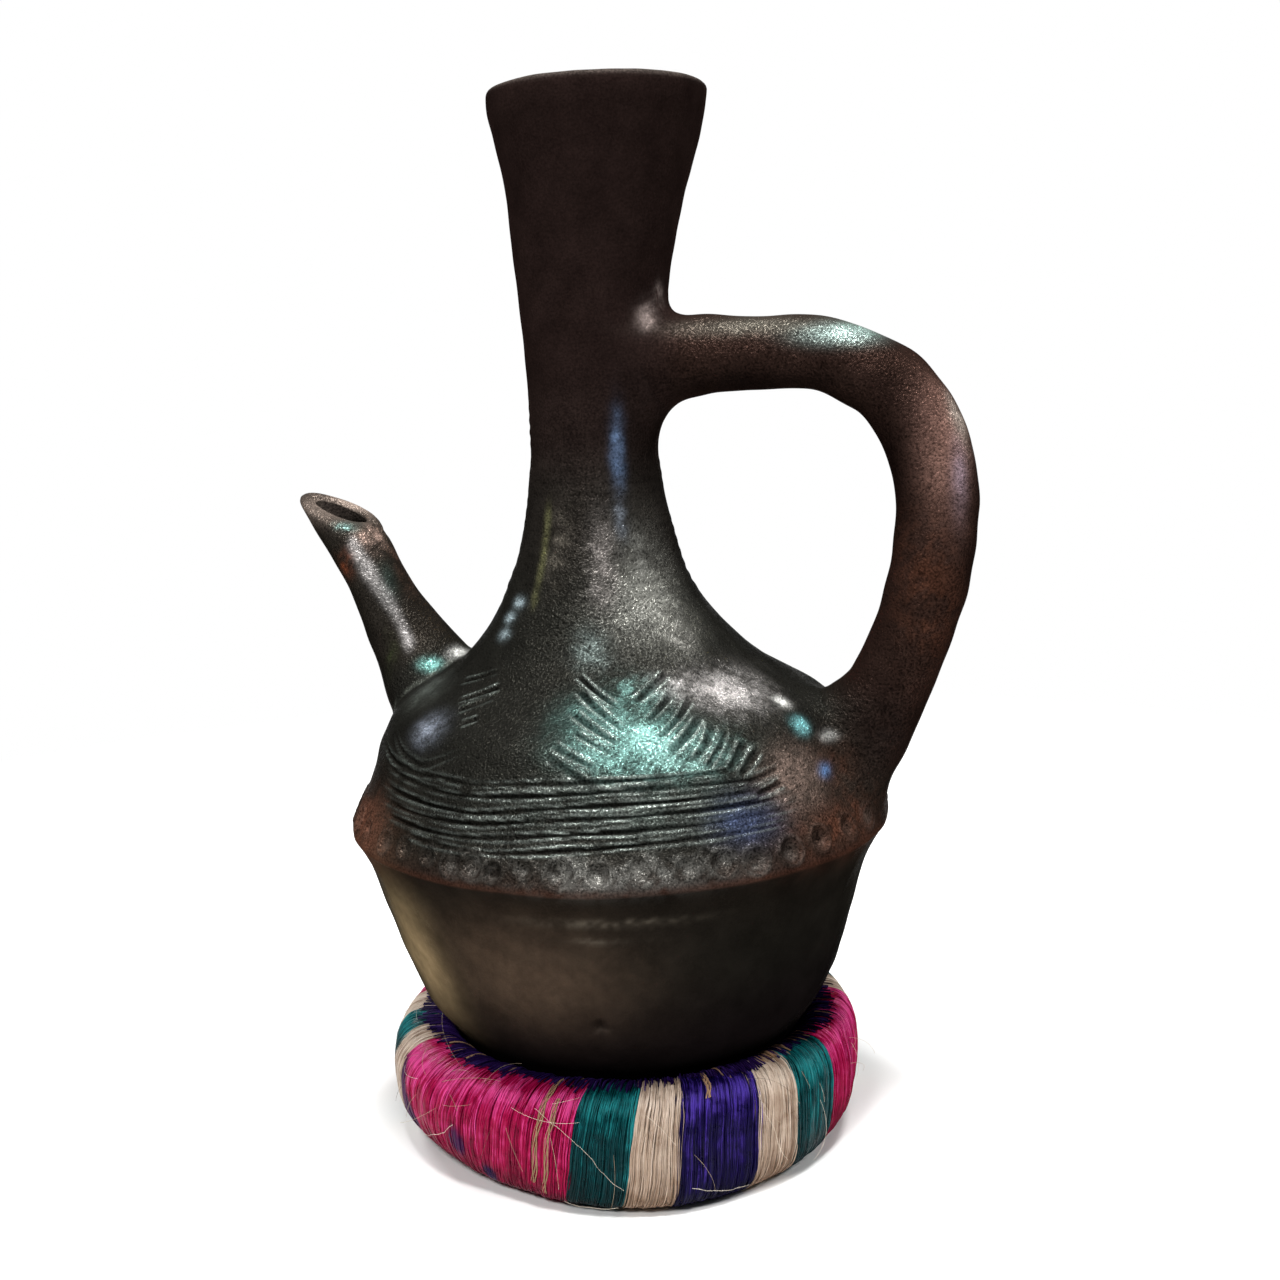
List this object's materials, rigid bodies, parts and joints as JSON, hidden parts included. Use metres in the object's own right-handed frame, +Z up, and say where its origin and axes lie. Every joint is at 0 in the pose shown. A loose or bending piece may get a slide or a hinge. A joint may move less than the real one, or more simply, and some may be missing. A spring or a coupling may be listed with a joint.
{
  "type": "coffee pot with ring stand",
  "caption": "Burnished black clay coffee pot with a long flared neck, side spout and loop handle, standing in a round ring bound in dyed fibre; the pot lifts off the ring.",
  "frame": {"origin": "where the pot's axis meets the table, in the middle of the ring", "axes": "+Z up along the pot's axis, -X towards the spout, +X towards the handle"},
  "size_m": [0.191, 0.1468, 0.277],
  "materials": {
    "clay": "burnished",
    "magenta": "dyed fibre",
    "teal": "dyed fibre",
    "natural": "raw fibre",
    "purple": "dyed fibre",
    "straw": "bundled grass"
  },
  "bodies": {
    "ring_stand": {"ring_core": "straw", "edge_binding": "purple", "wrap_magenta_left": "magenta", "wrap_magenta_front": "magenta", "wrap_magenta_right": "magenta", "wrap_magenta_back_1": "magenta", "wrap_magenta_back_2": "magenta", "wrap_teal_front": "teal", "wrap_teal_right": "teal", "wrap_teal_back_1": "teal", "wrap_teal_back_2": "teal", "wrap_teal_left": "teal", "wrap_natural_front": "natural", "wrap_natural_right": "natural", "wrap_natural_back_1": "natural", "wrap_natural_back_2": "natural", "wrap_natural_back_3": "natural", "wrap_natural_back_4": "natural", "wrap_natural_back_5": "natural", "wrap_natural_left": "natural", "wrap_purple_front": "purple", "wrap_purple_back_1": "purple", "wrap_purple_back_2": "purple"},
    "pot": {"base_bowl": "clay", "seam_band": "clay", "shoulder": "clay", "neck": "clay", "mouth_funnel": "clay", "spout": "clay", "handle": "clay"}
  },
  "joints": [
    {"name": "pot_lift", "type": "slide", "parent": "ring_stand", "child": "pot", "axis": [0, 0, 1], "range_m": [0, 0.06]}
  ]
}
